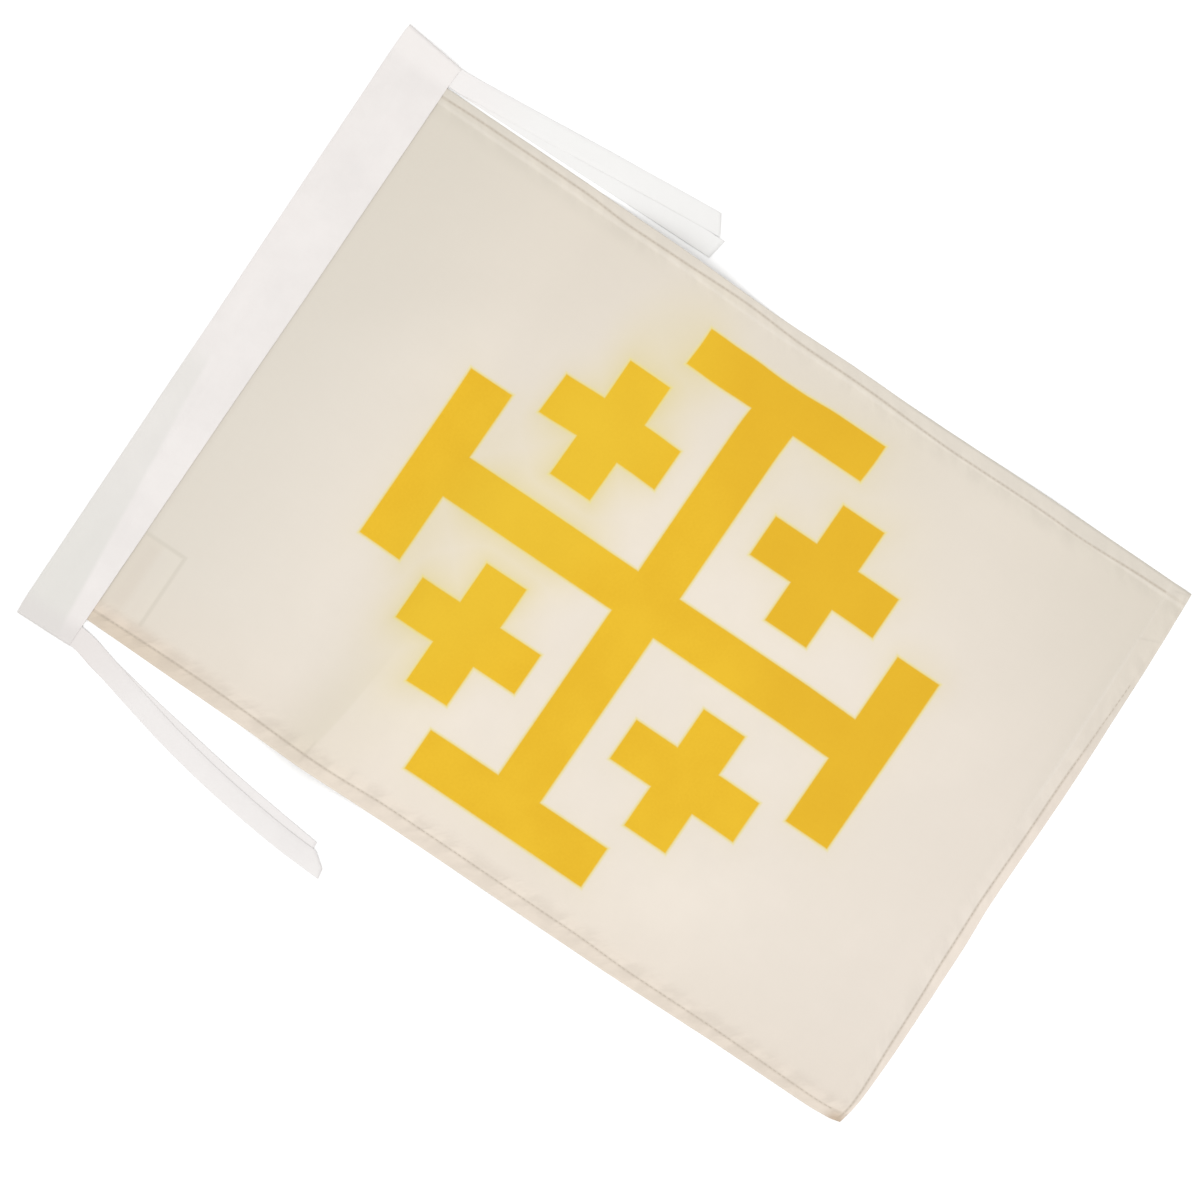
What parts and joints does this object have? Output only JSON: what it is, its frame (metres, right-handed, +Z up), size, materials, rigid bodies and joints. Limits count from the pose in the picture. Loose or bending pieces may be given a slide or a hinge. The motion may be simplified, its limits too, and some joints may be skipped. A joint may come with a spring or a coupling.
{
  "type": "national flag",
  "caption": "Small sewn flag lying face up: printed hemmed field, folded tape heading over the hoist edge, and a doubled ribbon tie at each end of the heading.",
  "frame": {"origin": "middle of the flag's box, on the surface that it lies on", "axes": "+X from the hoist to the fly, +Y up the hoist from the foot to the head, +Z up from the surface, out of the printed face"},
  "size_m": [0.4596, 0.3656, 0.0099],
  "materials": {
    "printed_cloth": "plain-woven polyester, cream, printed with a golden yellow cross",
    "heading_tape": "white woven tape, matt",
    "tie_ribbon": "white woven ribbon, soft sheen",
    "label_cloth": "plain white woven label, bare"
  },
  "bodies": {
    "root": {"field": "printed_cloth", "heading": "heading_tape", "upper_tie": "tie_ribbon", "lower_tie": "tie_ribbon", "label": "label_cloth"}
  },
  "joints": []
}
